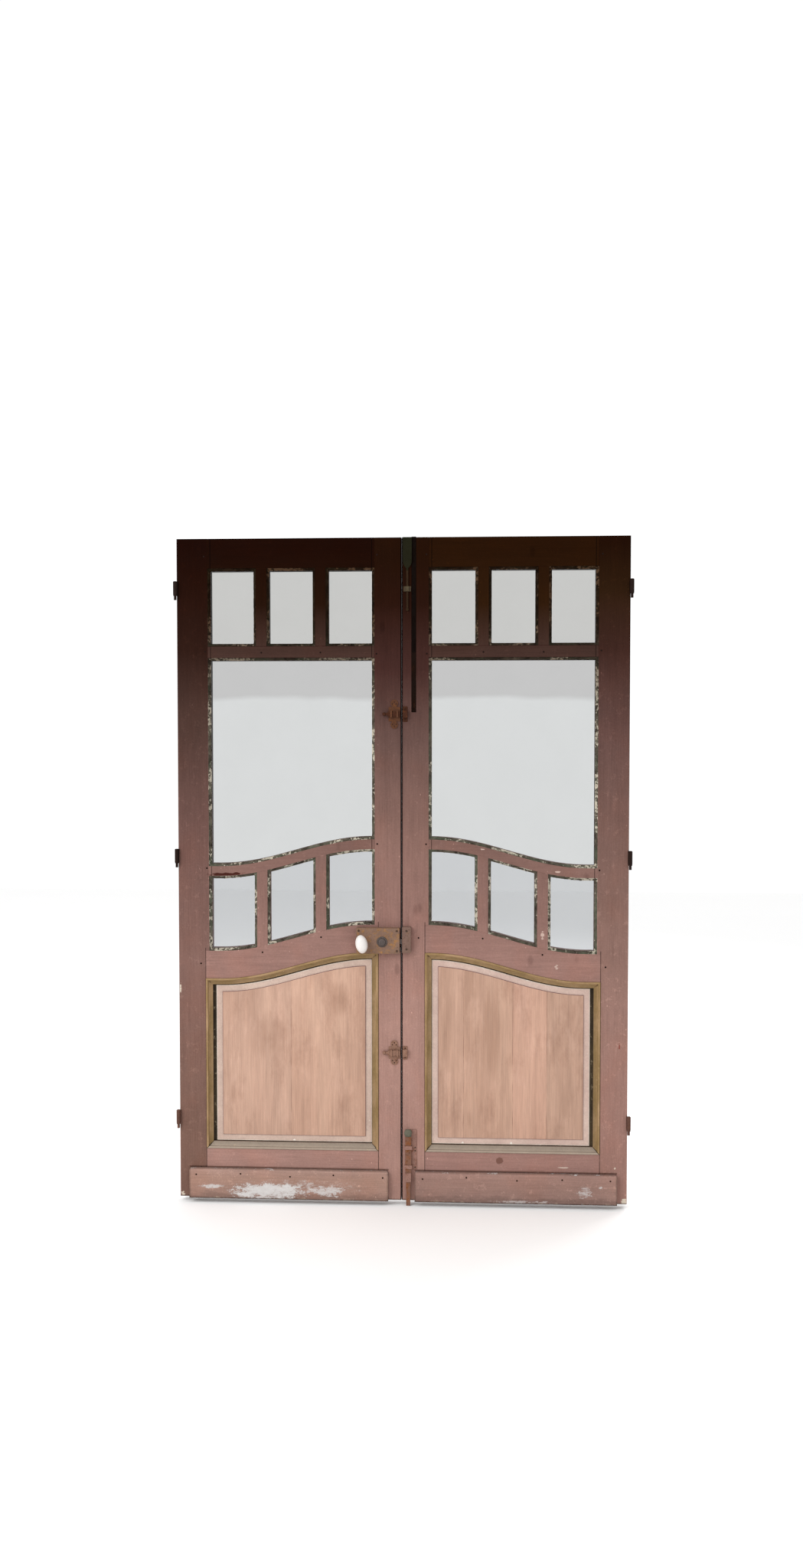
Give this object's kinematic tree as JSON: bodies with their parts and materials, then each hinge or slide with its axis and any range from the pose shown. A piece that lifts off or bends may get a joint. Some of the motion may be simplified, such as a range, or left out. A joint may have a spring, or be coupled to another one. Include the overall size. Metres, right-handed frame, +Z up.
{
  "type": "pair of doors",
  "caption": "Pair of old glazed timber door leaves with S-curved rails, small-paned lights, fielded lower panels, lift-off hinges, rim lock, surface catches and vertical bolts.",
  "frame": {"origin": "on the axis of the left leaf's lowest hinge pin, in the middle of the pin's free lower end", "axes": "+Z up along the hinge pins, +X from the left leaf to the right leaf, +Y from the front faces to the back"},
  "size_m": [1.548, 0.166, 2.267],
  "materials": {
    "old_paint": "weathered brown paint, nearly black at the top and faded to mauve at the foot",
    "panel_wood": "bare salmon field with vertical grain inside a mauve-grey margin",
    "moulding_paint": "worn ochre paint",
    "worn_kick_paint": "faded mauve paint with pale worn patches",
    "old_glass": "old window glass, slightly wavy",
    "old_putty": "hard chipped linseed putty",
    "hinge_iron": "dull grey iron with old paint",
    "grey_steel": "dull worn steel",
    "rusty_iron": "rust brown, matt",
    "painted_iron": "iron painted over with the door's brown paint",
    "green_iron": "worn grey-green paint over iron",
    "porcelain": "glossy white glaze"
  },
  "bodies": {
    "hinge_pins": {"hinge_pins": "grey_steel"},
    "left_leaf": {"left_hinge_stile": "old_paint", "left_meeting_stile": "old_paint", "left_top_rail": "old_paint", "left_top_muntins": "old_paint", "left_transom_rail": "old_paint", "left_curved_rail": "old_paint", "left_lower_muntins": "old_paint", "left_lock_rail": "old_paint", "left_bottom_rail": "old_paint", "left_panel": "panel_wood", "left_panel_mouldings": "moulding_paint", "left_kick_board": "worn_kick_paint", "left_top_panes": "old_glass", "left_large_pane": "old_glass", "left_lower_panes": "old_glass", "left_putty": "old_putty", "left_hinges": "hinge_iron", "lock_case": "rusty_iron", "lock_back_plate": "rusty_iron", "rear_rose": "rusty_iron", "button_rose": "grey_steel", "upper_catch_plate": "rusty_iron", "lower_catch_plate": "painted_iron"},
    "right_leaf": {"right_hinge_stile": "old_paint", "right_meeting_stile": "old_paint", "right_top_rail": "old_paint", "right_top_muntins": "old_paint", "right_transom_rail": "old_paint", "right_curved_rail": "old_paint", "right_lower_muntins": "old_paint", "right_lock_rail": "old_paint", "right_bottom_rail": "old_paint", "right_panel": "panel_wood", "right_panel_mouldings": "moulding_paint", "right_kick_board": "worn_kick_paint", "right_top_panes": "old_glass", "right_large_pane": "old_glass", "right_lower_panes": "old_glass", "right_putty": "old_putty", "right_hinges": "hinge_iron", "lock_keeper": "rusty_iron", "upper_catch_keeper": "rusty_iron", "lower_catch_keeper": "painted_iron", "top_bolt_guide": "green_iron", "bottom_bolt_plate": "rusty_iron"},
    "knob": {"follower": "grey_steel", "knob_spindle": "grey_steel", "knob_ferrules": "grey_steel", "front_knob": "porcelain", "rear_knob": "porcelain"},
    "latch": {"latch_bolt": "grey_steel"},
    "button": {"turn_button": "grey_steel"},
    "dead_bolt": {"dead_bolt": "grey_steel"},
    "upper_catch": {"upper_catch_bolt": "rusty_iron"},
    "lower_catch": {"lower_catch_bolt": "painted_iron"},
    "top_bolt": {"top_bolt": "green_iron"},
    "long_bolt": {"long_bolt": "rusty_iron"},
    "bottom_bolt": {"bottom_bolt": "rusty_iron"}
  },
  "joints": [
    {"name": "left_leaf_swing", "type": "hinge", "parent": "hinge_pins", "child": "left_leaf", "pos_m": [0, 0, 0.0101], "axis": [0, 0, -1], "range_deg": [0, 110]},
    {"name": "right_leaf_swing", "type": "hinge", "parent": "hinge_pins", "child": "right_leaf", "pos_m": [1.534, 0, 0.0101], "axis": [0, 0, 1], "range_deg": [0, 110]},
    {"name": "knob_turn", "type": "hinge", "parent": "left_leaf", "child": "knob", "pos_m": [0.635, 0.007, 0.6401], "axis": [0, 1, 0], "range_deg": [0, 18]},
    {"name": "latch_slide", "type": "slide", "parent": "left_leaf", "child": "latch", "axis": [1, 0, 0], "range_m": [0, 0.0101]},
    {"name": "button_turn", "type": "hinge", "parent": "left_leaf", "child": "button", "pos_m": [0.702, 0.007, 0.6441], "axis": [0, -1, 0], "range_deg": [0, 60]},
    {"name": "dead_bolt_slide", "type": "slide", "parent": "left_leaf", "child": "dead_bolt", "axis": [1, 0, 0], "range_m": [0, 0.0134]},
    {"name": "upper_catch_slide", "type": "slide", "parent": "left_leaf", "child": "upper_catch", "axis": [1, 0, 0], "range_m": [0, 0.014]},
    {"name": "lower_catch_slide", "type": "slide", "parent": "left_leaf", "child": "lower_catch", "axis": [1, 0, 0], "range_m": [0, 0.014]},
    {"name": "top_bolt_slide", "type": "slide", "parent": "right_leaf", "child": "top_bolt", "axis": [0, 0, 1], "range_m": [0, 0.02]},
    {"name": "long_bolt_slide", "type": "slide", "parent": "right_leaf", "child": "long_bolt", "axis": [0, 0, 1], "range_m": [0, 0.018]},
    {"name": "bottom_bolt_slide", "type": "slide", "parent": "right_leaf", "child": "bottom_bolt", "axis": [0, 0, 1], "range_m": [0, 0.025]}
  ],
  "couplings": [
    {"joint": "latch_slide", "follows": "knob_turn", "m_per_rad": 0.031869},
    {"joint": "button_turn", "follows": "dead_bolt_slide", "rad_per_m": 78.149}
  ]
}
